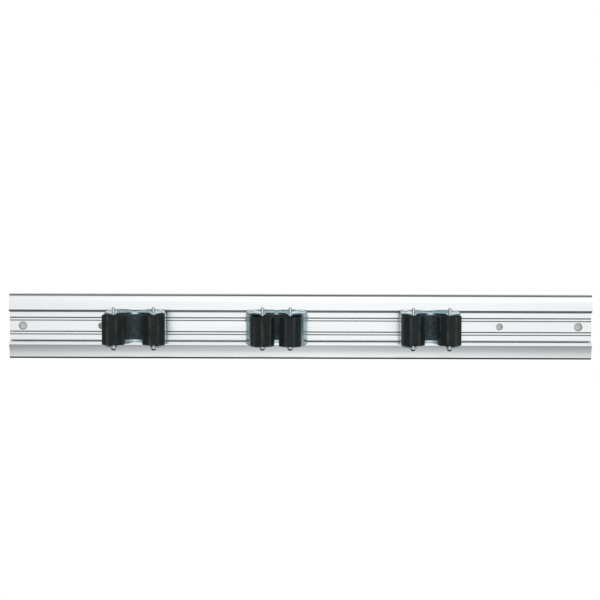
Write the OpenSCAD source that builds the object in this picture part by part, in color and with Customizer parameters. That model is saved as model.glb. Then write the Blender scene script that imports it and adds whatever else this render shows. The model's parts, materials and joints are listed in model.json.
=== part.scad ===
// Wall rack for tool handles: an extruded rail with three sprung roller clips that slide in its slot.
// Millimetres. X runs along the rail, Z is up, the front faces -Y.
// The origin is the centre of the rail's back face, on the wall.

/* [Rail] */
// Length of the rail
rail_length = 450; // [390:10:900]
// Height of the rail
rail_height = 50; // [47:1:60]
// Depth of the rail from the wall to the front of its lips
rail_depth = 9.5; // [9.3:0.1:12]
// Thickness of the floor of the slot
floor_t = 2.5; // [2:0.1:2.8]
// Height of the slot's opening between the lips
slot_opening = 23.4; // [22.6:0.1:24.4]
// How far the slot runs on behind each lip
lip_overhang = 3.1; // [2.6:0.1:3.6]
// Thickness of each lip
lip_t = 2.2; // [1.9:0.1:2.4]
// Height of the chamfer along the edge of each lip
lip_chamfer = 1.5; // [1:0.1:1.7]
// Thickness of the rail's outer walls
skin_t = 1.8; // [1.4:0.1:2.2]
// Depth of the outer rims from the wall
rim_depth = 6.6; // [6.2:0.1:8]
// Chamfer along each outer rim
rim_chamfer = 1.4; // [0.8:0.1:1.6]
// Depth of the hollow in each front band
cove_sag = 0.5; // [0.3:0.05:0.8]
// Distance of each floor rib from the middle of the rail
rib_offset = 5.4; // [5:0.1:7]
// Width of a floor rib at its foot
rib_width = 2.9; // [2:0.1:4]
// Height of a floor rib
rib_height = 0.8; // [0.4:0.1:1.2]

/* [Screw holes] */
// Diameter of the screw holes near the ends
end_hole_d = 6.5; // [4:0.1:7]
// Distance of those holes from the ends
end_hole_inset = 10; // [8:0.5:20]
// Diameter of the inner screw holes
inner_hole_d = 5.2; // [4:0.1:6]
// Distance of the inner holes from the ends
inner_hole_inset = 71; // [60:1:90]

/* [Clips] */
// Thickness of the pressed steel
sheet_t = 1.2; // [1:0.05:1.3]
// Outer radius of the bends in the arms and the base
bend_r = 2.4; // [1.8:0.1:2.8]
// Outer radius of the bends in the slide plate
plate_bend_r = 1.7; // [1.4:0.1:2]
// Distance between the two pivots of a clip
pivot_spacing = 38; // [37:0.1:42]
// Radius of the arm's eye around its pivot
eye_r = 4.4; // [4.3:0.05:4.8]
// Clearance between the arm's eye and the rail's lips
eye_clearance = 1.1; // [0.6:0.1:2]
// Length of the arm's outer wall in front of the pivot
arm_wall = 10.5; // [9:0.1:11.5]
// Distance from the pivot to the roller axle along the wall
axle_reach = 19.6; // [19:0.1:22]
// Distance from the pivot to the roller axle square to the wall
axle_inset = 3.8; // [3.4:0.1:4.2]
// Radius of the arm's beak around the axle
beak_r = 2.8; // [2.2:0.1:3.4]
// Lean of the arm's wall when the clip is shut, in degrees
closed_lean = 14; // [13:0.5:15]
// Largest handle that the hollow in the base takes
handle_d = 32; // [30:0.5:34]

/* [Rollers] */
// Width of a roller across its corners
roller_d = 18.4; // [16:0.1:19]
// Number of flats on a roller
roller_flats = 8; // [6:1:12]
// Height play of a roller between the ears
roller_play = 1.6; // [0.8:0.1:3]
// Diameter of the roller axle
axle_d = 2.5; // [2:0.1:3]
// Length of axle that stands above the upper ear
axle_tail = 5; // [2:0.1:6]
// Diameter of the axle's domed head
axle_head_d = 5; // [4:0.1:6]
// Height of the axle's domed head
axle_head_h = 2.2; // [1.2:0.1:2.3]

/* [Pivots and springs] */
// Diameter of a pivot pin
pivot_d = 3; // [2.6:0.1:3.2]
// Diameter of a pivot pin's head
pivot_head_d = 5.2; // [4.4:0.1:6]
// Height of a pivot pin's head
pivot_head_h = 0.6; // [0.4:0.1:1]
// Thickness of the spring wire
wire_d = 1; // [0.8:0.05:1.1]
// Rise of the spring in one turn
spring_pitch = 1.6; // [1.55:0.05:2]
// Whole turns of the spring
spring_turns = 7; // [4:1:9]
// Diameter of a rivet
rivet_d = 3; // [2.4:0.1:3.4]
// Distance between the two rivets of a clip
rivet_spacing = 20; // [14:0.5:24]

/* [Arrangement] */
// Place of the left clip along the rail
left_clip_x = -127; // [-160:1:-110]
// Place of the middle clip along the rail
middle_clip_x = -18.5; // [-30:0.5:0]
// Place of the right clip along the rail
right_clip_x = 99.5; // [80:0.5:160]
// Opening of the left clip's arms as stored, in degrees
left_clip_open = 14; // [0:1:40]
// Opening of the middle clip's arms as stored, in degrees
middle_clip_open = 0; // [0:1:40]
// Opening of the right clip's arms as stored, in degrees
right_clip_open = 10; // [0:1:40]

/* [Hidden] */
$fn = 48;
clip_names = ["left_clip", "middle_clip", "right_clip"];
clip_pieces = ["slide_plate", "base", "base_rivets"];
side_names = ["left", "right"];
side_pieces = ["pivot_pin", "arm", "spring", "axle", "roller"];

// Clearances
over = 1;
slide_gap = 0.3;
slot_gap = 0.5;
ear_gap = 0.8;
wall_gap = 0.6;
head_gap = 0.2;
pin_fit = 0.05;
running_fit = 0.08;
roller_fit = 0.1;
coil_gap = 0.2;
seat_gap = 0.1;

// Where the clips stand and how the rollers lie, left roller first
clip_x = [left_clip_x, middle_clip_x, right_clip_x];
clip_open = [left_clip_open, middle_clip_open, right_clip_open];
roller_turns = [[17, 29], [0, 20], [30, 32]];
roller_lift_shares = [[0.85, 0.85], [0.15, 0.15], [0.85, 0.85]];

// Rail section, with u as the depth from the wall and v as the height
slot_half = slot_opening / 2;
undercut_half = slot_half + lip_overhang;
rail_half = rail_height / 2;
rib_top_share = 0.45;
lip_slope_share = 0.7;
cove_start = [rail_depth, slot_half + lip_t];
rim_step = 0.2;
cove_end = [rim_depth - rim_step, rail_half - skin_t];
cove_chord = norm(cove_end - cove_start);
cove_out = [cove_end.y - cove_start.y, cove_start.x - cove_end.x] / cove_chord;
cove_r = (pow(cove_chord / 2, 2) + pow(cove_sag, 2)) / (2 * cove_sag);
cove_centre = (cove_start + cove_end) / 2 + cove_out * (cove_r - cove_sag);
cavity_depth = cove_centre.x - cove_r - skin_t;
cavity_start = undercut_half + skin_t;
cavity_height = rail_half - skin_t - cavity_start;

// Heights in a clip, counted from its middle
flange_half = slot_half - slot_gap;
ear_inner = flange_half + ear_gap;
ear_outer = ear_inner + sheet_t;
plate_half = undercut_half - slide_gap;

// Depths in a clip, counted from the wall
plate_front = rail_depth - lip_t - slide_gap;
plate_back = floor_t + rib_height + slide_gap;
web_front = plate_front + sheet_t;
hollow_step = 0.9;
hollow_depth = web_front + hollow_step;
pivot_depth = rail_depth + eye_r + eye_clearance;
pivot_half = pivot_spacing / 2;

// Base and slide plate
pivot_bore_r = pivot_d / 2 + pin_fit;
flange_eye_r = eye_r - sheet_t - wall_gap;
flange_edge = pivot_half + flange_eye_r - 2 * wall_gap;
web_edge = pivot_half + flange_eye_r + wall_gap;
plate_edge = pivot_half + flange_eye_r;
hollow_r = handle_d / 2;
rivet_r = rivet_d / 2;
rivet_head_share = 0.9;
rivet_head_r = rivet_d * rivet_head_share;
rivet_head_h_share = 0.65;
rivet_head_h = sheet_t * rivet_head_h_share;

// Arm, in a frame with the pivot at the origin and the wall along -Y
arm_bore_r = pivot_d / 2 + running_fit;
beak_at = [-axle_inset, -axle_reach];
beak_dir = beak_at / norm(beak_at);
beak_side = [beak_dir.y, -beak_dir.x];
beak_taper = asin((eye_r - beak_r) / norm(beak_at));
inner_edge = beak_side * cos(beak_taper) + beak_dir * sin(beak_taper);
wall_corner = [eye_r, -arm_wall];
nose = beak_at - wall_corner;
outer_edge = [-nose.y, nose.x] / norm(nose);
tab_length_share = 0.8;
tab_length = eye_r * tab_length_share;

// Rollers and axles
roller_r = roller_d / 2;
roller_h = 2 * ear_inner - roller_play;
axle_r = axle_d / 2;
axle_head_r = axle_head_d / 2;
dome_r = (pow(axle_head_r, 2) + pow(axle_head_h, 2)) / (2 * axle_head_h);

// Spring: a lower leg on the base's web, a coil round the pivot pin, an upper leg on the arm's tab
wire_r = wire_d / 2;
coil_r = pivot_d / 2 + coil_gap + wire_r;
coil_rings = 8;
wire_sides = 6;
spring_foot = -spring_pitch * (spring_turns + 1) / 2;
foot_reach = pivot_depth - web_front - seat_gap;
tab_reach = eye_r - sheet_t - seat_gap;
tab_half_share = 1.5;
tab_half = wire_d * tab_half_share;

function arm_turn(open) = open - closed_lean;
function turned(point, angle) =
    [point.x * cos(angle) - point.y * sin(angle), point.x * sin(angle) + point.y * cos(angle)];
function coil_sweep(open) = 360 * spring_turns + 270 - arm_turn(open);
function spring_rise(open) = spring_pitch * coil_sweep(open) / 360;
function spring_head(open) = spring_foot + spring_rise(open);
function coil_point(angle, open) = [
    coil_r * cos(angle), -coil_r * sin(angle), spring_foot + spring_pitch * angle / 360
];
function leg_end(open) = concat(turned([tab_reach, coil_r], arm_turn(open)), spring_head(open));
function spring_path(open) =
    let (steps = ceil(coil_sweep(open) / 360 * coil_rings))
    concat(
        [[coil_r, foot_reach, spring_foot], [coil_r, coil_r, spring_foot]],
        [for (i = [0:steps]) coil_point(coil_sweep(open) * i / steps, open)],
        [leg_end(open)]
    );

// A tube along a path, with every ring square to the way the path goes there
function path_dir(path, i) =
    let (before = path[max(i - 1, 0)], after = path[min(i + 1, len(path) - 1)])
    (after - before) / norm(after - before);
function ring_at(path, i, r, sides) =
    let (
        dir = path_dir(path, i),
        flat = cross([0, 0, 1], dir),
        across = flat / norm(flat),
        up = cross(dir, across)
    )
    [for (k = [0:sides - 1]) path[i] + r * (cos(360 * k / sides) * across + sin(360 * k / sides) * up)];
function tube_points(path, r, sides) =
    [for (i = [0:len(path) - 1]) each ring_at(path, i, r, sides)];
function tube_faces(rings, sides) = concat(
    [for (k = [1:sides - 2]) [0, k, k + 1]],
    [for (i = [0:rings - 2]) for (k = [0:sides - 1])
        let (a = i * sides + k, b = i * sides + (k + 1) % sides)
        each [[a, a + sides, b], [b, a + sides, b + sides]]],
    [for (k = [1:sides - 2]) let (last = (rings - 1) * sides) [last, last + k + 1, last + k]]
);

// Least clear distance between points of a spring that lie over half a turn apart
function spring_gap(open) =
    let (path = spring_path(open), apart = coil_rings / 2 + 1)
    min([for (i = [0:len(path) - 1]) for (j = [i + apart:1:len(path) - 1]) norm(path[i] - path[j])]) - wire_d;
echo(least_spring_gap = min([for (open = clip_open) spring_gap(open)]));

// What a chamfer takes off a corner that points up and forward, with the corner at the origin
module corner_cut(height, depth) {
    polygon([[-depth, 0], [0, -height], [over, -height], [over, over], [-depth, over]]);
}

// Cuts in the upper half of the rail's section, mirrored for the lower one
module upper_cuts() {
    intersection() {
        translate(cove_centre) circle(cove_r);
        square([2 * rail_depth, cove_end.y]);
    }
    translate([rim_depth, cove_end.y]) square([rail_depth, skin_t + over]);
    translate([-over, cavity_start]) square([cavity_depth + over, cavity_height]);
    translate([rim_depth, rail_half]) corner_cut(rim_chamfer, rim_chamfer);
    translate([rail_depth, slot_half]) mirror([0, 1]) corner_cut(lip_chamfer, lip_chamfer * lip_slope_share);
}

module rib_section() {
    top = rib_width / 2 * rib_top_share;
    root = rib_width - top;
    polygon([[-rib_height, -root], [rib_height, -top], [rib_height, top], [-rib_height, root]]);
}

// The slot that the clips slide in, with the two ribs left standing on its floor
module slot_section() {
    difference() {
        translate([floor_t, 0]) union() {
            translate([0, -slot_half]) square([rail_depth, slot_opening]);
            translate([0, -undercut_half]) square([rail_depth - lip_t - floor_t, 2 * undercut_half]);
        }
        for (side = [-1, 1]) translate([floor_t, side * rib_offset]) rib_section();
    }
}

module rail_section() {
    difference() {
        translate([0, -rail_half]) square([rail_depth, rail_height]);
        slot_section();
        upper_cuts();
        mirror([0, 1]) upper_cuts();
    }
}

module along_x(length) {
    rotate([90, 0, 90]) translate([0, 0, -length / 2]) linear_extrude(length) children();
}

module screw_hole(x, d) {
    translate([x, over, 0]) rotate([90, 0, 0]) cylinder(h = floor_t + rib_height + 2 * over, d = d);
}

module rail() {
    color("gainsboro") difference() {
        along_x(rail_length) mirror([1, 0]) rail_section();
        for (side = [-1, 1]) {
            screw_hole(side * (rail_length / 2 - end_hole_inset), end_hole_d);
            screw_hole(side * (rail_length / 2 - inner_hole_inset), inner_hole_d);
        }
    }
}

// A sheet bent to a channel: a web that ends at x = 0 and two legs that run from it to x = -depth
module channel_section(depth, half_h, r) {
    difference() {
        bent_block(depth, half_h, r);
        translate([-sheet_t, 0]) bent_block(depth, half_h - sheet_t, r - sheet_t);
    }
}

module bent_block(depth, half_h, r) {
    intersection() {
        translate([-depth, -half_h]) square([depth, 2 * half_h]);
        union() {
            translate([-depth, -half_h]) square([depth - r, 2 * half_h]);
            translate([-depth, r - half_h]) square([depth, 2 * (half_h - r)]);
            for (side = [-1, 1]) translate([-r, side * (half_h - r)]) circle(r);
        }
    }
}

module rivet_holes() {
    for (side = [-1, 1])
        translate([side * rivet_spacing / 2, 0, 0])
            rotate([90, 0, 0]) cylinder(h = web_front + over, r = rivet_r + pin_fit);
}

module slide_plate() {
    color("lightsteelblue") difference() {
        along_x(2 * plate_edge)
            translate([-plate_front, 0]) mirror([1, 0])
                channel_section(plate_front - plate_back, plate_half, plate_bend_r);
        rivet_holes();
    }
}

// Wall of the base's hollow from above, which the handle's back rests against
module saddle_outline() {
    intersection() {
        translate([0, -hollow_depth - hollow_r]) difference() {
            circle(hollow_r + sheet_t);
            circle(hollow_r);
        }
        translate([-pivot_half, -pivot_depth]) square([pivot_spacing, pivot_depth - plate_front]);
    }
}

// Outline of the base from above: the web, the flange, and an eye at each pivot
module base_outline() {
    difference() {
        union() {
            translate([-web_edge, -web_front]) square([2 * web_edge, sheet_t]);
            translate([-flange_edge, -pivot_depth]) square([2 * flange_edge, pivot_depth - plate_front]);
            for (side = [-1, 1]) translate([side * pivot_half, -pivot_depth]) circle(flange_eye_r);
        }
        translate([0, -hollow_depth - hollow_r]) circle(hollow_r);
    }
}

module base() {
    flange_reach = pivot_depth + flange_eye_r - plate_front;
    color("lightsteelblue") difference() {
        union() {
            intersection() {
                along_x(2 * web_edge)
                    translate([-plate_front, 0]) channel_section(flange_reach, flange_half, bend_r);
                translate([0, 0, -flange_half]) linear_extrude(2 * flange_half) base_outline();
            }
            translate([0, 0, sheet_t / 2 - flange_half])
                linear_extrude(2 * flange_half - sheet_t) saddle_outline();
        }
        for (side = [-1, 1])
            translate([side * pivot_half, -pivot_depth, -ear_outer]) cylinder(h = 2 * ear_outer, r = pivot_bore_r);
        rivet_holes();
    }
}

module rivet_head(depth, way) {
    translate([0, -depth, 0]) rotate([way * 90, 0, 0])
        cylinder(h = rivet_head_h, r1 = rivet_head_r, r2 = rivet_r);
}

module base_rivets() {
    color("silver") for (side = [-1, 1]) translate([side * rivet_spacing / 2, 0, 0]) {
        translate([0, sheet_t - plate_front, 0]) rotate([90, 0, 0]) cylinder(h = 2 * sheet_t, r = rivet_r);
        rivet_head(web_front, 1);
        rivet_head(plate_front - sheet_t, -1);
    }
}

// Everything on the right of a clip stands round its pivot, and the left side is its mirror image
module at_pivot() {
    translate([pivot_half, -pivot_depth, 0]) children();
}

module on_arm(open) {
    at_pivot() rotate([0, 0, arm_turn(open)]) children();
}

module at_axle(open) {
    on_arm(open) translate(beak_at) children();
}

module pivot_pin() {
    shank = ear_outer + head_gap;
    color("silver") at_pivot() {
        translate([0, 0, -shank]) cylinder(h = 2 * shank, d = pivot_d);
        for (flip = [0, 1]) mirror([0, 0, flip])
            translate([0, 0, shank]) cylinder(h = pivot_head_h, d1 = pivot_head_d, d2 = pivot_d);
    }
}

// Outline of an ear from above: the eye, the wall's end and the beak
module ear_outline() {
    circle(eye_r);
    polygon([
        [0, 0], [eye_r, 0], wall_corner, beak_at + outer_edge * beak_r, beak_at,
        beak_at + inner_edge * beak_r, inner_edge * eye_r
    ]);
    translate(beak_at) circle(beak_r);
}

module arm_sheet() {
    intersection() {
        translate([0, 0, -ear_outer]) linear_extrude(2 * ear_outer) ear_outline();
        rotate([90, 0, 0]) translate([eye_r, 0, -2 * eye_r])
            linear_extrude(axle_reach + 4 * eye_r) channel_section(2 * axle_reach, ear_outer, bend_r);
    }
}

module arm(open) {
    inner_face = eye_r - sheet_t;
    color("lightsteelblue") on_arm(open) {
        difference() {
            arm_sheet();
            translate([inner_face - wall_gap, 0, -ear_inner]) cube([eye_r, eye_r, 2 * ear_inner]);
            translate([0, 0, -ear_outer - over]) cylinder(h = 2 * (ear_outer + over), r = arm_bore_r);
            translate([beak_at.x, beak_at.y, -ear_outer - over])
                cylinder(h = 2 * (ear_outer + over), r = axle_r + pin_fit);
        }
        translate([inner_face, -sheet_t, spring_head(open) - tab_half])
            cube([sheet_t, tab_length + sheet_t, 2 * tab_half]);
    }
}

module spring(open) {
    path = spring_path(open);
    color("gray") at_pivot()
        polyhedron(tube_points(path, wire_r, wire_sides), tube_faces(len(path), wire_sides), 8);
}

module axle_dome() {
    intersection() {
        translate([0, 0, dome_r - axle_head_h]) sphere(dome_r);
        translate([0, 0, -axle_head_h]) cylinder(h = axle_head_h, r = axle_head_r);
    }
}

module axle(open) {
    foot = ear_outer + pin_fit;
    tail = ear_outer + axle_tail - axle_r;
    color("silver") at_axle(open) {
        translate([0, 0, -foot]) cylinder(h = foot + tail, r = axle_r);
        translate([0, 0, tail]) sphere(axle_r);
        translate([0, 0, -foot]) axle_dome();
    }
}

module roller(open, turn, lift_share) {
    color("dimgray") at_axle(open)
        translate([0, 0, lift_share * roller_play - ear_inner]) rotate([0, 0, turn - arm_turn(open)])
            difference() {
                cylinder(h = roller_h, r = roller_r, $fn = roller_flats);
                translate([0, 0, -over]) cylinder(h = roller_h + 2 * over, r = axle_r + roller_fit);
            }
}

module on_side(side) {
    if (side == 0) mirror([1, 0, 0]) children();
    else children();
}

module clip_piece(clip, piece) {
    if (piece == "slide_plate") slide_plate();
    if (piece == "base") base();
    if (piece == "base_rivets") base_rivets();
}

module side_piece(clip, side, piece) {
    open = clip_open[clip];
    turn = side == 0 ? -roller_turns[clip][side] : roller_turns[clip][side];
    if (piece == "pivot_pin") pivot_pin();
    if (piece == "arm") arm(open);
    if (piece == "spring") spring(open);
    if (piece == "axle") axle(open);
    if (piece == "roller") roller(open, turn, roller_lift_shares[clip][side]);
}

rail();
for (clip = [0:len(clip_names) - 1]) translate([clip_x[clip], 0, 0]) {
    for (piece = clip_pieces)
        clip_piece(clip, piece);
    for (side = [0, 1]) on_side(side) for (piece = side_pieces)
        side_piece(clip, side, piece);
}
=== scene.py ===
import json
import math

import bmesh
import bpy
from mathutils import Matrix, Vector, noise


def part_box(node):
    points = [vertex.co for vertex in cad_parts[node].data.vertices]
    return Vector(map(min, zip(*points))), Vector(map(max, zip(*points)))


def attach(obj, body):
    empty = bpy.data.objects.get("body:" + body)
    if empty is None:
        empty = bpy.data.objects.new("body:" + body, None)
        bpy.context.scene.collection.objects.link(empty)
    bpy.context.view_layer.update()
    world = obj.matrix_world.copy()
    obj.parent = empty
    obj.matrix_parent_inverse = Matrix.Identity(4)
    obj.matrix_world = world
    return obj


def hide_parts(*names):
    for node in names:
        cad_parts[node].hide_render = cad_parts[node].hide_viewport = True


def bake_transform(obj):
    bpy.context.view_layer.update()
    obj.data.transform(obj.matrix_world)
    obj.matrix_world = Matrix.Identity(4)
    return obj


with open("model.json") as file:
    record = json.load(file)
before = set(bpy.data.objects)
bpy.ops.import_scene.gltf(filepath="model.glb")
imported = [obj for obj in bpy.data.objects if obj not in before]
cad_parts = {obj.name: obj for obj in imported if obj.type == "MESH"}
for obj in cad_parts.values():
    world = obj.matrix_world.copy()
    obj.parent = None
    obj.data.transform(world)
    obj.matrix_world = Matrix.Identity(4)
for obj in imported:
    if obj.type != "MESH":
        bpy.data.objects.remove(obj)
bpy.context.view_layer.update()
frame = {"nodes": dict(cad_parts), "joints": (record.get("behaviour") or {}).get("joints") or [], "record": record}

# Metres, in the frame of the CAD model: x along the rail, z up, the front faces -y.
MM = 0.001
CLIPS = ("left_clip", "middle_clip", "right_clip")
SIDES = (("left", -1), ("right", 1))

# Camera
VIEW_ELEVATION = math.radians(5.5)
VIEW_DISTANCE = 1.7
VIEW_TARGET = Vector((-0.0005, -0.0095, 0.02118))
VIEW_ROLL = math.radians(0.17)
FRAME_WIDTH = 0.4623
SENSOR_MM = 36.0
NEAR_LIMIT = 0.05

# Light: how bright the surroundings are along each axis of the frame, as (direction, level) stops
WORLD_LIGHT = {
    "X": [(-1, 0.36), (-0.5, 0.38), (-0.22, 0.86), (0, 1.16), (0.22, 0.97), (0.5, 0.64), (1, 0.5)],
    "Y": [(-1, 1), (0.1, 1), (0.4, 0.5), (1, 0.5)],
    "Z": [
        (-1, 0.01), (-0.97, 0.02), (-0.93, 0.14), (-0.89, 0.28), (-0.8, 0.4), (-0.68, 0.47), (-0.55, 0.62),
        (-0.32, 0.84), (-0.11, 1), (0.5, 1), (0.9, 0.97), (0.94, 0.6), (0.97, 0.22), (1, 0.1),
    ],
}
# Light that the floor throws back up in front of the middle of the rail
FLOOR_LIGHT = {
    "X": [(-0.085, 0), (-0.05, 1), (0, 1), (0.11, 0)],
    "Y": [(-0.2, 1), (0, 0)],
    "Z": [(-1, 0.12), (-0.8, 0.28), (-0.68, 0.22), (-0.5, 0.42), (-0.38, 0.34), (-0.22, 0)],
}
# White background in reflections: the directions, in y and in z, where it starts and where it is full
BACKGROUND_START = (0.3, 0.6)
BACKGROUND_FOOT = (-0.7, -0.35)
LAMP_POWER = 0.3
LAMP_WIDTH = 0.6
LAMP_HEIGHT = 0.5
LAMP_PLACE = Vector((0.1, -1.4, 0.35))

# Discs at the back of the screw holes
HOLE_BACK_DEPTH = 0.1 * MM
HOLE_BACK_SIDES = 32
HOLE_RIM = 0.6 * MM

# Rollers
ROLLER_CORNERS = 8
ROLLER_CORNER_ROUND = 0.5 * MM
SMALLEST_CORNER_ROUND = 0.05 * MM
CORNER_STEPS = 4
ROLLER_END_ROUND = 0.2 * MM
END_STEPS = 4
ROLLER_BORE = 1.35 * MM
ROLLER_MOUTH = 0.35 * MM
ROLLER_RINGS = 12
# Unevenness of the moulded sides: its depth, and the scale of its noise
ROLLER_WAVE = 0.05 * MM
ROLLER_WAVE_SCALE = 140
# How far the large flats outweigh the small faces beside them in the shading, where 50 is neutral
FLAT_WEIGHT = 80
# Wear with a painted highlight: how far it falls off round a corner, and what is left at shares of the way along a
# flat
CORNER_WEAR_AND_SHEEN_FALL = 0.5
FLAT_WEAR_AND_SHEEN_SHARES = ((0.12, 0.12), (0.35, 0), (0.65, 0), (0.88, 0.12))

# Springs, in the frame of the right pivot
WIRE_R = 0.5 * MM
COIL_R = 2.2 * MM
SPRING_PITCH = 1.6 * MM
SPRING_TURNS = 7
SPRING_LAST_TURN = 1.5 * math.pi
SPRING_FOOT = -6.4 * MM
FOOT_REACH = 6.7 * MM
FOOT_SHARES = (1, 0.7, 0.4, 0.2)
TAB_REACH = 3.1 * MM
TAB_SHARES = (0.33, 0.66, 1)
CLOSED_LEAN = math.radians(14)
RINGS_PER_TURN = 24
WIRE_SIDES = 12
# Eased ends of the wire: their length and the radius at the tip, as shares of the wire's radius
WIRE_END_SHARE = 0.3
WIRE_TIP_SHARE = 0.7

# Finish: how far the edges of the CAD nodes are rounded, by the ending of the node's name
EASED_EDGES = {"rail": 0.12 * MM, "_arm": 0.5 * MM, "_base": 0.25 * MM, "_pivot_pin": 0.12 * MM}
EASED_STEPS = 3
WELD_DISTANCE = 0.001 * MM
SHARP_ANGLE = math.radians(25)
FLAT_ANGLE = math.radians(0.1)

# Painted shade deep in the bases, and painted shade and painted shadow on the rail: each pair of places is where
# it starts and where it is full
# Painted shade in the bases: darker deep in the hollow behind the rollers
PAINTED_SHADE_DEPTHS = (-14 * MM, -12 * MM)
PAINTED_SHADE_HEIGHTS = (10.2 * MM, 9.6 * MM)
RIB_OFFSET = 5.4 * MM
RIB_FLANK = 1.05 * MM
# Painted shade in thin lines along the flanks of the ribs
RIB_SHADE_WIDTHS = (0.6 * MM, 0.3 * MM)
RIB_SHADE_DEPTHS = (-2.3 * MM, -2.5 * MM)
RIB_SHADE_SHARE = 0.8
# Painted shadow on the floor behind the lips: strong under the upper lip, weaker above the lower one
UPPER_LIP_SHADOW = (10.42 * MM, 10.8 * MM)
UPPER_LIP_SHADOW_SHARE = 0.9
LOWER_LIP_SHADOW = (-10.42 * MM, -10.8 * MM)
LOWER_LIP_SHADOW_SHARE = 0.45
LIP_SHADOW_DEPTHS = (-2.8 * MM, -2.6 * MM)
# Painted shade on the undersides of the pins, by the upward part of the surface's normal
PIN_UNDERSIDE_SHADE = (-0.3, -0.62)
PIN_UNDERSIDE_SHADE_SHARE = 0.85

# Colours that follow a noise, as (level, colour) stops
ALUMINIUM_STOPS = [(0.3, (0.815, 0.85, 0.862)), (0.7, (0.88, 0.912, 0.925))]
ZINC_STOPS = [(0.3, (0.45, 0.61, 0.67)), (0.55, (0.55, 0.7, 0.76)), (0.75, (0.64, 0.77, 0.81))]
BASE_ZINC_STOPS = [(0.3, (0.45, 0.61, 0.67)), (0.75, (0.64, 0.77, 0.81))]
# Painted shade: dark zinc colours deep in the hollow of the bases
PAINTED_SHADE_STOPS = [(0.3, (0.05, 0.075, 0.082)), (0.75, (0.11, 0.14, 0.15))]
PIN_STOPS = [(0.3, (0.76, 0.78, 0.79)), (0.7, (0.86, 0.88, 0.88))]
SPRING_STOPS = [(0.3, (0.26, 0.27, 0.28)), (0.7, (0.42, 0.43, 0.44))]
RUBBER_STOPS = [(0.3, (0.0105, 0.018, 0.018)), (0.7, (0.018, 0.0275, 0.027))]
PLASTER_STOPS = [(0.3, (0.86, 0.85, 0.83)), (0.7, (0.94, 0.93, 0.91))]

# Plain colours
WHITE = (1, 1, 1, 1)
# Painted shade beside the ribs
RIB_SHADE = (0.25, 0.27, 0.28, 1)
# Painted shadow behind the lips
LIP_SHADOW = (0.08, 0.085, 0.09, 1)
# Painted shade on the pins' undersides
PIN_SHADE = (0.05, 0.055, 0.055, 1)
# Rubbed grey of the corners, also a painted highlight there
WORN_AND_SHEEN_RUBBER = (0.125, 0.126, 0.118, 1)
RUBBER_ENDS = (0.01, 0.013, 0.013, 1)
HOLE_SHADE = (0.28, 0.27, 0.26, 1)

# Roughness, most of it as the range that a noise or the painted shade runs over
ALUMINIUM_ROUGHNESS = (0.17, 0.25)
ZINC_ROUGHNESS = (0.18, 0.3)
SHADED_ZINC_ROUGHNESS = (0.18, 0.55)
PIN_ROUGHNESS = (0.08, 0.18)
SPRING_ROUGHNESS = (0.28, 0.44)
RUBBER_ROUGHNESS = (0.42, 0.58)
PLASTER_ROUGHNESS = 0.9

# Depth of the fine relief of each surface
LINE_DEPTH = 0.02 * MM
MOTTLE_DEPTH = 0.03 * MM
GRAIN_DEPTH = 0.05 * MM


def joint(name):
    return next(j for j in frame["joints"] if j["name"] == name)


def new_object(name, mesh_builder, material):
    mesh = bpy.data.meshes.new(name)
    mesh_builder.normal_update()
    mesh_builder.to_mesh(mesh)
    mesh_builder.free()
    for polygon in mesh.polygons:
        polygon.use_smooth = True
    mesh.materials.append(material)
    piece = bpy.data.objects.new(name, mesh)
    bpy.context.scene.collection.objects.link(piece)
    return piece


# Materials


class Nodes:
    """A node tree, with short ways to add and link nodes."""

    def __init__(self, tree):
        self.tree = tree

    def add(self, kind, **settings):
        node = self.tree.nodes.new(kind)
        for key, value in settings.items():
            setattr(node, key, value)
        return node

    def link(self, source, target):
        self.tree.links.new(source, target)

    def feed(self, target, value):
        """Link an output to target, or set a plain value there."""
        if isinstance(value, bpy.types.NodeSocket):
            self.link(value, target)
        else:
            target.default_value = value

    def ramp(self, value, stops):
        """Colour ramp with (position, colour) stops."""
        node = self.add("ShaderNodeValToRGB")
        elements = node.color_ramp.elements
        while len(elements) < len(stops):
            elements.new(0.5)
        for element, (place, colour) in zip(elements, stops):
            element.position = place
            element.color = (*colour, 1)
        self.link(value, node.inputs["Fac"])
        return node.outputs["Color"]

    def spread(self, value, low, high, start=0.3, end=0.7):
        """Map value from start..end to low..high."""
        node = self.add("ShaderNodeMapRange")
        for key, number in (("From Min", start), ("From Max", end), ("To Min", low), ("To Max", high)):
            node.inputs[key].default_value = number
        self.link(value, node.inputs["Value"])
        return node.outputs["Result"]

    def mix(self, blend, share, first, second):
        """Colour mix of first and second."""
        node = self.add("ShaderNodeMix", data_type="RGBA", blend_type=blend)
        for index, value in ((0, share), (6, first), (7, second)):
            self.feed(node.inputs[index], value)
        return node.outputs[2]

    def math(self, operation, *values):
        node = self.add("ShaderNodeMath", operation=operation)
        for target, value in zip(node.inputs, values):
            self.feed(target, value)
        return node.outputs[0]

    def split(self, vector):
        """X, Y and Z of a vector."""
        node = self.add("ShaderNodeSeparateXYZ")
        self.link(vector, node.inputs["Vector"])
        return node.outputs


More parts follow.
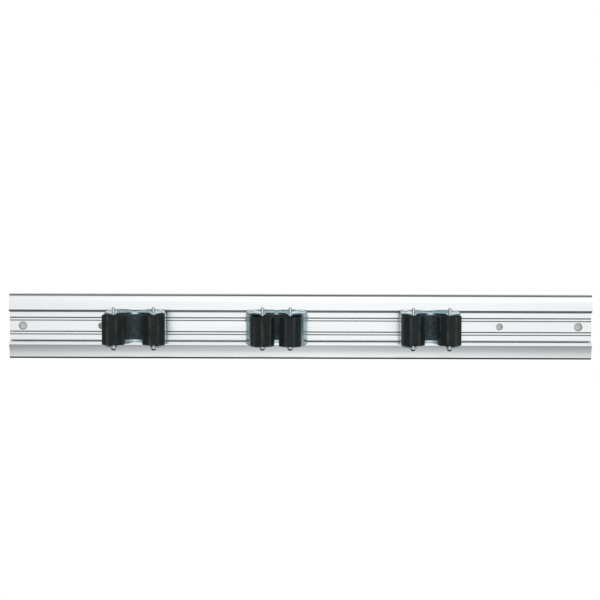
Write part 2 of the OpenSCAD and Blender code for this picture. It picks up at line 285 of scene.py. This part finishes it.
class Shader(Nodes):
    """A material's node tree."""

    def __init__(self, name):
        self.material = bpy.data.materials.new(name)
        self.material.use_nodes = True
        super().__init__(self.material.node_tree)
        self.principled = self.tree.nodes["Principled BSDF"]

    def position(self, stretch=(1, 1, 1)):
        """Object coordinates, multiplied by stretch."""
        coordinates = self.add("ShaderNodeTexCoord")
        mapping = self.add("ShaderNodeMapping")
        mapping.inputs["Scale"].default_value = stretch
        self.link(coordinates.outputs["Object"], mapping.inputs["Vector"])
        return mapping.outputs["Vector"]

    def attribute(self, name):
        """A value that the mesh carries at its vertices."""
        return self.add("ShaderNodeAttribute", attribute_name=name).outputs["Fac"]

    def noise(self, vector, scale, detail=3, roughness=0.55):
        node = self.add("ShaderNodeTexNoise")
        node.inputs["Scale"].default_value = scale
        node.inputs["Detail"].default_value = detail
        node.inputs["Roughness"].default_value = roughness
        self.link(vector, node.inputs["Vector"])
        return node.outputs["Fac"]

    def set(self, **values):
        for key, value in values.items():
            self.principled.inputs[key.replace("_", " ")].default_value = value

    def paint(self, colour, roughness):
        """Give the surface its colour and its roughness."""
        self.feed(self.principled.inputs["Base Color"], colour)
        self.feed(self.principled.inputs["Roughness"], roughness)

    def bump(self, height, strength, depth):
        node = self.add("ShaderNodeBump")
        node.inputs["Strength"].default_value = strength
        node.inputs["Distance"].default_value = depth
        self.link(height, node.inputs["Height"])
        self.link(node.outputs["Normal"], self.principled.inputs["Normal"])


def anodised_aluminium():
    """Silver anodised extrusion with fine lines along it, and painted shade beside the ribs and painted shadow
    behind the lips.
    """
    shader = Shader("anodised_aluminium_look")
    shader.set(Metallic=1.0)
    lines = shader.noise(shader.position(stretch=(6, 2600, 2600)), scale=1.0, detail=4)
    cloud = shader.noise(shader.position(stretch=(9, 60, 60)), scale=1.0, detail=2)
    axes = shader.split(shader.position())
    height = shader.math("ABSOLUTE", axes["Z"])
    from_rib = shader.math("ABSOLUTE", shader.math("SUBTRACT", height, RIB_OFFSET))
    from_flank = shader.math("ABSOLUTE", shader.math("SUBTRACT", from_rib, RIB_FLANK))
    # Painted shade: dark lines along the flanks of the ribs, on the floor of the rail
    beside_ribs = shader.math(
        "MULTIPLY",
        shader.spread(from_flank, 0, RIB_SHADE_SHARE, *RIB_SHADE_WIDTHS),
        shader.spread(axes["Y"], 0, 1, *RIB_SHADE_DEPTHS),
    )
    # Painted shadow on the floor where it goes behind the lips
    upper_shadow = shader.spread(axes["Z"], 0, UPPER_LIP_SHADOW_SHARE, *UPPER_LIP_SHADOW)
    lower_shadow = shader.spread(axes["Z"], 0, LOWER_LIP_SHADOW_SHARE, *LOWER_LIP_SHADOW)
    behind_lips = shader.math(
        "MULTIPLY",
        shader.math("MAXIMUM", upper_shadow, lower_shadow),
        shader.spread(axes["Y"], 0, 1, *LIP_SHADOW_DEPTHS),
    )
    clean = shader.ramp(lines, ALUMINIUM_STOPS)
    ribbed = shader.mix("MIX", beside_ribs, clean, RIB_SHADE)
    colour = shader.mix("MIX", behind_lips, ribbed, LIP_SHADOW)
    shader.paint(colour, shader.spread(cloud, *ALUMINIUM_ROUGHNESS))
    shader.bump(lines, strength=0.12, depth=LINE_DEPTH)
    return shader.material


def zinc_steel():
    """Bright zinc plate, slightly blue and mottled."""
    shader = Shader("zinc_steel_look")
    shader.set(Metallic=1.0)
    mottle = shader.noise(shader.position(), scale=380, detail=4)
    haze = shader.noise(shader.position(), scale=90, detail=2)
    shader.paint(shader.ramp(mottle, ZINC_STOPS), shader.spread(haze, *ZINC_ROUGHNESS))
    shader.bump(mottle, strength=0.1, depth=MOTTLE_DEPTH)
    return shader.material


def shaded_zinc_steel():
    """Zinc plate of the bases, dulled and darkened by painted shade deep in the hollow behind the rollers."""
    shader = Shader("shaded_zinc_steel_look")
    shader.set(Metallic=1.0)
    mottle = shader.noise(shader.position(), scale=380, detail=4)
    axes = shader.split(shader.position())
    # Painted shade: darker and rougher deep in the hollow, where shade falls
    painted_shade = shader.math(
        "MULTIPLY",
        shader.spread(axes["Y"], 0, 1, *PAINTED_SHADE_DEPTHS),
        shader.spread(shader.math("ABSOLUTE", axes["Z"]), 0, 1, *PAINTED_SHADE_HEIGHTS),
    )
    clean = shader.ramp(mottle, BASE_ZINC_STOPS)
    colour = shader.mix("MIX", painted_shade, clean, shader.ramp(mottle, PAINTED_SHADE_STOPS))
    shader.paint(colour, shader.spread(painted_shade, *SHADED_ZINC_ROUGHNESS, start=0, end=1))
    shader.bump(mottle, strength=0.1, depth=MOTTLE_DEPTH)
    return shader.material


def pin_steel():
    """Bright pins with fine rings round them, with painted shade underneath."""
    shader = Shader("pin_steel_look")
    shader.set(Metallic=1.0)
    rings = shader.noise(shader.position(stretch=(150, 150, 5200)), scale=1.0, detail=2)
    # Painted shade: the colour goes dark where the surface faces down
    facing = shader.split(shader.add("ShaderNodeNewGeometry").outputs["Normal"])
    underside_shade = shader.spread(facing["Z"], 0, PIN_UNDERSIDE_SHADE_SHARE, *PIN_UNDERSIDE_SHADE)
    colour = shader.mix("MIX", underside_shade, shader.ramp(rings, PIN_STOPS), PIN_SHADE)
    shader.paint(colour, shader.spread(rings, *PIN_ROUGHNESS))
    shader.bump(rings, strength=0.15, depth=LINE_DEPTH)
    return shader.material


def spring_steel():
    """Dark drawn wire."""
    shader = Shader("spring_steel_look")
    shader.set(Metallic=1.0)
    drawn = shader.noise(shader.position(), scale=900, detail=3)
    shader.paint(shader.ramp(drawn, SPRING_STOPS), shader.spread(drawn, *SPRING_ROUGHNESS))
    shader.bump(drawn, strength=0.1, depth=MOTTLE_DEPTH)
    return shader.material


def black_rubber():
    """Black moulded rubber with a fine grain, rubbed grey along the corners with a painted highlight there, and
    dull at the ends.
    """
    shader = Shader("black_rubber_look")
    shader.set(Specular_IOR_Level=0.22)
    grain = shader.noise(shader.position(), scale=2600, detail=5, roughness=0.65)
    patches = shader.noise(shader.position(stretch=(1, 1, 0.35)), scale=320, detail=4)
    patchy = shader.spread(patches, low=0.1, high=1.0, start=0.35, end=0.62)
    # Wear and painted highlight: lighter along the roller's corners, in patches
    rubbed_and_sheen = shader.math("MULTIPLY", shader.attribute("wear_and_sheen"), patchy)
    ends = shader.attribute("end")
    sides = shader.mix("MIX", rubbed_and_sheen, shader.ramp(patches, RUBBER_STOPS), WORN_AND_SHEEN_RUBBER)
    colour = shader.mix("MIX", ends, sides, RUBBER_ENDS)
    roughness = shader.mix("MIX", ends, shader.spread(grain, *RUBBER_ROUGHNESS), WHITE)
    shader.paint(colour, roughness)
    shader.bump(grain, strength=0.2, depth=GRAIN_DEPTH)
    return shader.material


LOOKS = {
    "anodised_aluminium": anodised_aluminium(),
    "zinc_steel": zinc_steel(),
    "shaded_zinc_steel": shaded_zinc_steel(),
    "pin_steel": pin_steel(),
    "spring_steel": spring_steel(),
    "black_rubber": black_rubber(),
}


# Rollers


def octagon_points(corner_angle, corner_r, inset):
    """(x, y, wear and painted highlight) round a rounded octagon whose flats are set in by inset."""
    half = math.pi / ROLLER_CORNERS
    fillet = max(ROLLER_CORNER_ROUND - inset, SMALLEST_CORNER_ROUND)
    apothem = corner_r * math.cos(half) - inset
    centre_r = (apothem - fillet) / math.cos(half)
    points = []
    for corner in range(ROLLER_CORNERS):
        angle = corner_angle + 2 * half * corner
        for step in range(CORNER_STEPS + 1):
            share = 2 * step / CORNER_STEPS - 1
            turn = angle + half * share
            x = centre_r * math.cos(angle) + fillet * math.cos(turn)
            y = centre_r * math.sin(angle) + fillet * math.sin(turn)
            points.append((x, y, 1 - CORNER_WEAR_AND_SHEEN_FALL * abs(share)))
        following = angle + 2 * half
        start = Vector((points[-1][0], points[-1][1]))
        end = Vector((
            centre_r * math.cos(following) + fillet * math.cos(following - half),
            centre_r * math.sin(following) + fillet * math.sin(following - half),
        ))
        for share, wear_and_sheen in FLAT_WEAR_AND_SHEEN_SHARES:
            point = start.lerp(end, share)
            points.append((point.x, point.y, wear_and_sheen))
    return points


def roller_levels(low, high):
    """(inset, height) of the rings from the lower to the upper end, with a small round at each end."""
    lower_end = []
    for step in range(END_STEPS):
        turn = math.pi / 2 * step / END_STEPS
        inset = ROLLER_END_ROUND * (1 - math.sin(turn))
        lower_end.append((inset, low + ROLLER_END_ROUND * (1 - math.cos(turn))))
    upper_end = [(inset, low + high - z) for inset, z in reversed(lower_end)]
    straight = high - low - 2 * ROLLER_END_ROUND
    body = []
    for step in range(ROLLER_RINGS + 1):
        body.append((0, low + ROLLER_END_ROUND + straight * step / ROLLER_RINGS))
    return lower_end + body + upper_end


def roller(name, axle, corner_angle, corner_r, low, high):
    """A black rubber roller round the upright axle, from height low to high."""
    builder = bmesh.new()
    wear_and_sheen_layer = builder.verts.layers.float.new("wear_and_sheen")
    end_layer = builder.verts.layers.float.new("end")
    rings = []
    for inset, z in roller_levels(low, high):
        ring = []
        for x, y, wear_and_sheen in octagon_points(corner_angle, corner_r, inset):
            place = Vector((axle.x + x, axle.y + y, z))
            wave = noise.noise(place * ROLLER_WAVE_SCALE) if inset == 0 else 0
            shrink = 1 - (1 + wave) * ROLLER_WAVE / corner_r
            vertex = builder.verts.new((axle.x + x * shrink, axle.y + y * shrink, z))
            vertex[wear_and_sheen_layer] = wear_and_sheen
            vertex[end_layer] = 1 if z in (low, high) else 0
            ring.append(vertex)
        rings.append(ring)
    angles = [math.atan2(vertex.co.y - axle.y, vertex.co.x - axle.x) for vertex in rings[0]]
    mouth = ROLLER_BORE + ROLLER_MOUTH
    bore_levels = (
        (high, mouth),
        (high - ROLLER_MOUTH, ROLLER_BORE),
        (low + ROLLER_MOUTH, ROLLER_BORE),
        (low, mouth),
    )
    for z, r in bore_levels:
        ring = []
        for angle in angles:
            vertex = builder.verts.new((axle.x + r * math.cos(angle), axle.y + r * math.sin(angle), z))
            vertex[end_layer] = 1
            ring.append(vertex)
        rings.append(ring)
    for lower, upper in zip(rings, rings[1:] + rings[:1]):
        for index in range(len(angles)):
            following = (index + 1) % len(angles)
            builder.faces.new((lower[index], lower[following], upper[following], upper[index]))
    bmesh.ops.recalc_face_normals(builder, faces=builder.faces)
    piece = new_object(name, builder, LOOKS["black_rubber"])
    flat = piece.modifiers.new("flat_faces", "WEIGHTED_NORMAL")
    flat.weight = FLAT_WEIGHT
    return piece


def make_rollers():
    for clip in CLIPS:
        for side, _ in SIDES:
            node = f"{clip}_{side}_roller"
            axle = Vector(joint(f"{clip}_{side}_roller_spin")["pos_m"])
            low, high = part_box(node)
            away = max((v.co - axle for v in frame["nodes"][node].data.vertices), key=lambda d: d.xy.length)
            corner_angle = math.atan2(away.y, away.x)
            piece = roller(f"{node}_rubber", axle, corner_angle, away.xy.length, low.z, high.z)
            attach(piece, f"{node}_body")
            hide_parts(node)


# Springs


def spring_path(turn):
    """Points of the wire round the right pivot, with the arm turned by turn, and its upper height."""
    sweep = 2 * math.pi * SPRING_TURNS + SPRING_LAST_TURN - turn
    head = SPRING_FOOT + SPRING_PITCH * sweep / (2 * math.pi)
    points = [Vector((COIL_R, FOOT_REACH * share, SPRING_FOOT)) for share in FOOT_SHARES]
    steps = math.ceil(sweep / (2 * math.pi) * RINGS_PER_TURN)
    for step in range(steps + 1):
        angle = sweep * step / steps
        z = SPRING_FOOT + SPRING_PITCH * angle / (2 * math.pi)
        points.append(Vector((COIL_R * math.cos(angle), -COIL_R * math.sin(angle), z)))
    end = Matrix.Rotation(turn, 3, "Z") @ Vector((TAB_REACH, COIL_R, 0))
    end.z = head
    last = points[-1]
    points += [last.lerp(end, share) for share in TAB_SHARES]
    return points, head


def wire(name, points, centre, side):
    """A round wire with eased ends along points, mirrored on the left side."""
    builder = bmesh.new()
    rings = []
    total = len(points)
    end_length = WIRE_R * WIRE_END_SHARE
    tip_r = WIRE_R * WIRE_TIP_SHARE
    for index, point in enumerate(points):
        ahead = points[min(index + 1, total - 1)]
        behind = points[max(index - 1, 0)]
        along = (ahead - behind).normalized()
        across = Vector((0, 0, 1)).cross(along).normalized()
        up = along.cross(across)
        radii = [(0, WIRE_R)]
        if index == 0:
            radii = [(0, tip_r), (end_length, WIRE_R)]
        if index == total - 1:
            radii = [(-end_length, WIRE_R), (0, tip_r)]
        for shift, r in radii:
            ring = []
            for step in range(WIRE_SIDES):
                angle = 2 * math.pi * step / WIRE_SIDES
                place = point + along * shift + (across * math.cos(angle) + up * math.sin(angle)) * r
                ring.append(builder.verts.new((centre.x + side * place.x, centre.y + place.y, place.z)))
            rings.append(ring)
    for lower, upper in zip(rings, rings[1:]):
        for step in range(WIRE_SIDES):
            following = (step + 1) % WIRE_SIDES
            builder.faces.new((lower[step], lower[following], upper[following], upper[step]))
    builder.faces.new(rings[0])
    builder.faces.new(rings[-1])
    bmesh.ops.recalc_face_normals(builder, faces=builder.faces)
    return new_object(name, builder, LOOKS["spring_steel"])


def make_springs():
    for clip in CLIPS:
        for side, sign in SIDES:
            swing = joint(f"{clip}_{side}_arm_swing")
            centre = Vector(swing["pos_m"])
            opened = math.radians(-swing["range_deg"][0])
            points, head = spring_path(opened - CLOSED_LEAN)
            node = f"{clip}_{side}_spring"
            piece = wire(f"{node}_wire", points, centre, sign)
            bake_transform(piece)
            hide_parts(node)


# Finish of the CAD nodes


def weld_and_smooth():
    """Node group that joins a CAD mesh along its edges and shades it smooth between the sharp ones."""
    group = bpy.data.node_groups.new("weld_and_smooth", "GeometryNodeTree")
    for way in ("INPUT", "OUTPUT"):
        group.interface.new_socket("Geometry", in_out=way, socket_type="NodeSocketGeometry")
    nodes = Nodes(group)
    weld = nodes.add("GeometryNodeMergeByDistance")
    weld.inputs["Distance"].default_value = WELD_DISTANCE
    plain = nodes.add("GeometryNodeRemoveAttribute")
    plain.inputs["Name"].default_value = "custom_normal"
    smooth = nodes.add("GeometryNodeSetShadeSmooth")
    sharp = nodes.add("GeometryNodeSetShadeSmooth", domain="EDGE")
    sharp.inputs["Shade Smooth"].default_value = False
    turned = nodes.add("FunctionNodeCompare", data_type="FLOAT", operation="GREATER_THAN")
    turned.inputs[1].default_value = SHARP_ANGLE
    nodes.link(nodes.add("GeometryNodeInputMeshEdgeAngle").outputs["Unsigned Angle"], turned.inputs[0])
    nodes.link(turned.outputs["Result"], sharp.inputs["Selection"])
    chain = [nodes.add("NodeGroupInput"), weld, plain, smooth, sharp, nodes.add("NodeGroupOutput")]
    for before, after in zip(chain, chain[1:]):
        nodes.link(before.outputs[0], after.inputs[0])
    return group


def ease_edges(node, group, width):
    """Round the sharp edges of a CAD node a little, as tumbling and plating do."""
    node.modifiers.new("weld_and_smooth", "NODES").node_group = group
    faces = node.modifiers.new("whole_faces", "DECIMATE")
    faces.decimate_type = "DISSOLVE"
    faces.angle_limit = FLAT_ANGLE
    edges = node.modifiers.new("eased_edges", "BEVEL")
    edges.width = width
    edges.segments = EASED_STEPS
    edges.limit_method = "ANGLE"
    edges.angle_limit = SHARP_ANGLE
    edges.harden_normals = True


def dress_nodes():
    group = weld_and_smooth()
    for row in frame["record"]["subparts"]:
        name = row["node"]
        node = frame["nodes"][name]
        # The bases take a copy of the zinc look with painted shade in their hollow
        look = "shaded_zinc_steel" if name.endswith("_base") else row["material_slot"]
        for place in node.material_slots:
            place.material = LOOKS[look]
        for ending, width in EASED_EDGES.items():
            if name.endswith(ending):
                ease_edges(node, group, width)


# Stage, light and camera


def pale_wall():
    """Pale plaster that is clear from behind, so that the rail's back can be seen."""
    shader = Shader("pale_wall")
    plaster = shader.noise(shader.position(), scale=900)
    colour = shader.mix("MIX", shader.attribute("rim"), shader.ramp(plaster, PLASTER_STOPS), HOLE_SHADE)
    shader.paint(colour, PLASTER_ROUGHNESS)
    one_sided = shader.add("ShaderNodeMixShader")
    shader.link(shader.add("ShaderNodeNewGeometry").outputs["Backfacing"], one_sided.inputs["Fac"])
    shader.link(shader.principled.outputs["BSDF"], one_sided.inputs[1])
    shader.link(shader.add("ShaderNodeBsdfTransparent").outputs["BSDF"], one_sided.inputs[2])
    shader.link(one_sided.outputs["Shader"], shader.tree.nodes["Material Output"].inputs["Surface"])
    return shader.material


def hole_back(x, r, material):
    """A disc in a screw hole of radius r, shaded along its rim."""
    builder = bmesh.new()
    rim_layer = builder.verts.layers.float.new("rim")
    rings = []
    for ring_r, shade in ((r - HOLE_RIM, 0), (r, 1)):
        ring = []
        for step in range(HOLE_BACK_SIDES):
            angle = 2 * math.pi * step / HOLE_BACK_SIDES
            place = (x + ring_r * math.cos(angle), -HOLE_BACK_DEPTH, ring_r * math.sin(angle))
            vertex = builder.verts.new(place)
            vertex[rim_layer] = shade
            ring.append(vertex)
        rings.append(ring)
    inner, outer = rings
    builder.faces.new(inner)
    for step in range(HOLE_BACK_SIDES):
        following = (step + 1) % HOLE_BACK_SIDES
        builder.faces.new((inner[step], outer[step], outer[following], inner[following]))
    return new_object("hole_back", builder, material)


def make_hole_backs():
    """A disc of pale wall at the back of each screw hole, so that no white surroundings show there."""
    material = pale_wall()
    for mount in frame["record"]["mounts"]:
        if mount["kind"] != "bolt_pattern":
            continue
        half = mount["dims"]["spacing_x_mm"] / 2 * MM
        r = mount["dims"]["hole_r_mm"] * MM
        for place in (-half, half):
            hole_back(place, r, material)


def light_along_axes(nodes, direction, stops_by_axis):
    """Product of one grey ramp along each axis of the direction."""
    light = None
    for axis, stops in stops_by_axis.items():
        place = nodes.spread(direction[axis], 0, 1, -1, 1)
        level = nodes.ramp(place, [((value + 1) / 2, (shade, shade, shade)) for value, shade in stops])
        light = level if light is None else nodes.mix("MULTIPLY", 1.0, light, level)
    return light


def make_world():
    """Soft surroundings, bright in front and darker all round, and a white background."""
    world = bpy.data.worlds.new("soft_studio")
    world.use_nodes = True
    bpy.context.scene.world = world
    nodes = Nodes(world.node_tree)
    background = world.node_tree.nodes["Background"]
    direction = nodes.split(nodes.add("ShaderNodeTexCoord").outputs["Generated"])
    surroundings = light_along_axes(nodes, direction, WORLD_LIGHT)
    light = nodes.mix("ADD", 1.0, surroundings, light_along_axes(nodes, direction, FLOOR_LIGHT))
    rays = nodes.add("ShaderNodeLightPath")
    mirrored = nodes.math("ADD", rays.outputs["Is Glossy Ray"], rays.outputs["Is Transmission Ray"])
    behind = nodes.spread(direction["Y"], 0, 1, *BACKGROUND_START)
    above_foot = nodes.spread(direction["Z"], 0, 1, *BACKGROUND_FOOT)
    mirrored_wall = nodes.math("MULTIPLY", mirrored, nodes.math("MULTIPLY", behind, above_foot))
    white = nodes.math("MAXIMUM", rays.outputs["Is Camera Ray"], mirrored_wall)
    nodes.link(nodes.mix("MIX", white, light, WHITE), background.inputs["Color"])


def make_lamp():
    """A soft lamp in front, above the camera's line."""
    lamp = bpy.data.lights.new("front", "AREA")
    lamp.shape = "RECTANGLE"
    lamp.size = LAMP_WIDTH
    lamp.size_y = LAMP_HEIGHT
    lamp.energy = LAMP_POWER
    front = bpy.data.objects.new("front", lamp)
    front.location = LAMP_PLACE
    front.rotation_mode = "QUATERNION"
    front.rotation_quaternion = (-LAMP_PLACE).to_track_quat("-Z", "Y")
    bpy.context.scene.collection.objects.link(front)


def make_camera():
    back = Vector((0, -math.cos(VIEW_ELEVATION), math.sin(VIEW_ELEVATION)))
    lens = bpy.data.cameras.new("camera")
    lens.sensor_width = SENSOR_MM
    lens.lens = SENSOR_MM * VIEW_DISTANCE / FRAME_WIDTH
    lens.clip_start = NEAR_LIMIT
    camera = bpy.data.objects.new("camera", lens)
    camera.location = VIEW_TARGET + back * VIEW_DISTANCE
    camera.rotation_mode = "QUATERNION"
    roll = Matrix.Rotation(VIEW_ROLL, 3, "Z").to_quaternion()
    camera.rotation_quaternion = (-back).to_track_quat("-Z", "Y") @ roll
    bpy.context.scene.collection.objects.link(camera)
    bpy.context.scene.camera = camera


make_rollers()
make_springs()
dress_nodes()
make_hole_backs()
make_world()
make_lamp()
make_camera()
bpy.context.scene.view_settings.view_transform = "Standard"
